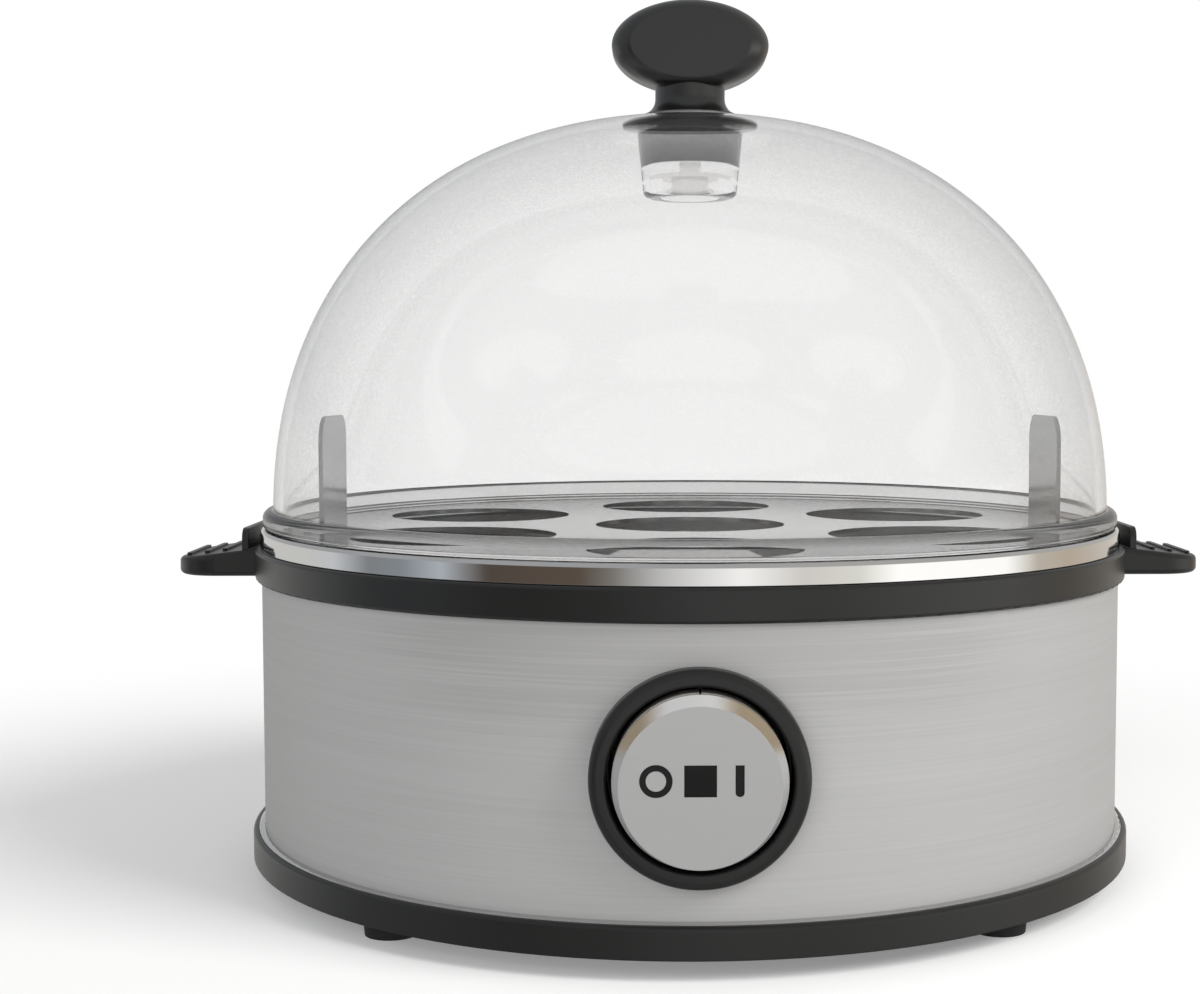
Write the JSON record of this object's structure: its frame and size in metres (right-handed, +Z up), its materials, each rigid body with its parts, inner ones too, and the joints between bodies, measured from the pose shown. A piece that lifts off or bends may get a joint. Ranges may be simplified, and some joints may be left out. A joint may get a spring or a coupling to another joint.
{
  "type": "electric egg cooker",
  "caption": "Round electric egg cooker: steel body on a black base, side handles, round rocker switch, egg tray and a clear domed lid with a black knob.",
  "frame": {"origin": "on the ground under the middle of the body", "axes": "+Z up, -Y towards the switch, +X towards the right handle seen from the switch"},
  "size_m": [0.196, 0.1748, 0.1652],
  "materials": {
    "black_plastic": "satin moulded",
    "brushed_steel": "fine level brushing",
    "polished_steel": "polished",
    "plain_steel": "plain zinc",
    "aluminium": "cast",
    "element_steel": "dull",
    "brass": "plain",
    "rubber": "matt",
    "silicone": "matt",
    "ceramic": "matt",
    "lens": "smoked gloss",
    "mark_black": "matt fill",
    "lamp_glass": "clear",
    "wire_sleeve": "matt",
    "clear_plastic": "clear"
  },
  "bodies": {
    "base": {"bottom_casing": "black_plastic", "rubber_feet": "rubber", "casing_screws": "plain_steel", "body_shell": "brushed_steel", "base_trim_ring": "polished_steel", "upper_ring": "black_plastic", "heating_bowl": "polished_steel", "bowl_gasket": "silicone", "bowl_tabs": "plain_steel", "heater_plate": "aluminium", "heating_element": "element_steel", "element_insulators": "ceramic", "element_pins": "brass", "thermostat": "plain_steel", "thermostat_bracket": "plain_steel", "heater_screws": "plain_steel", "thermal_fuse": "plain_steel", "fuse_clip": "plain_steel", "heat_shield": "plain_steel", "shield_screws": "plain_steel", "switch_bezel": "black_plastic", "switch_nut": "black_plastic", "switch_housing": "black_plastic", "switch_terminals": "brass", "cord_gland": "rubber", "terminal_block": "ceramic", "terminal_screws": "plain_steel", "internal_wires": "wire_sleeve"},
    "rocker": {"rocker_cap": "brushed_steel", "rocker_trim": "polished_steel", "rocker_body": "black_plastic", "mark_inlays": "mark_black", "indicator_lens": "lens", "indicator_lamp": "lamp_glass", "contact_plunger": "black_plastic", "plunger_spring": "plain_steel"},
    "contact": {"seesaw_contact": "brass"},
    "lid": {"lid_dome": "clear_plastic", "lid_knob": "black_plastic", "knob_seal": "silicone", "knob_screw": "plain_steel", "knob_washer": "plain_steel"},
    "tray": {"egg_tray": "polished_steel", "tray_lugs": "polished_steel"}
  },
  "joints": [
    {"name": "lid_lift", "type": "slide", "parent": "base", "child": "lid", "axis": [0, 0, 1], "range_m": [0, 0.12]},
    {"name": "tray_lift", "type": "slide", "parent": "base", "child": "tray", "axis": [0, 0, 1], "range_m": [0, 0.048]},
    {"name": "rocker_tilt", "type": "hinge", "parent": "base", "child": "rocker", "pos_m": [0, -0.0796, 0.032], "axis": [0, 0, 1], "range_deg": [-6, 6]},
    {"name": "contact_tilt", "type": "hinge", "parent": "base", "child": "contact", "pos_m": [0, -0.0672, 0.032], "axis": [0, 0, 1], "range_deg": [-9, 9]}
  ],
  "couplings": [
    {"joint": "tray_lift", "follows": "lid_lift", "ratio": 0.4},
    {"joint": "contact_tilt", "follows": "rocker_tilt", "ratio": -1.5}
  ]
}
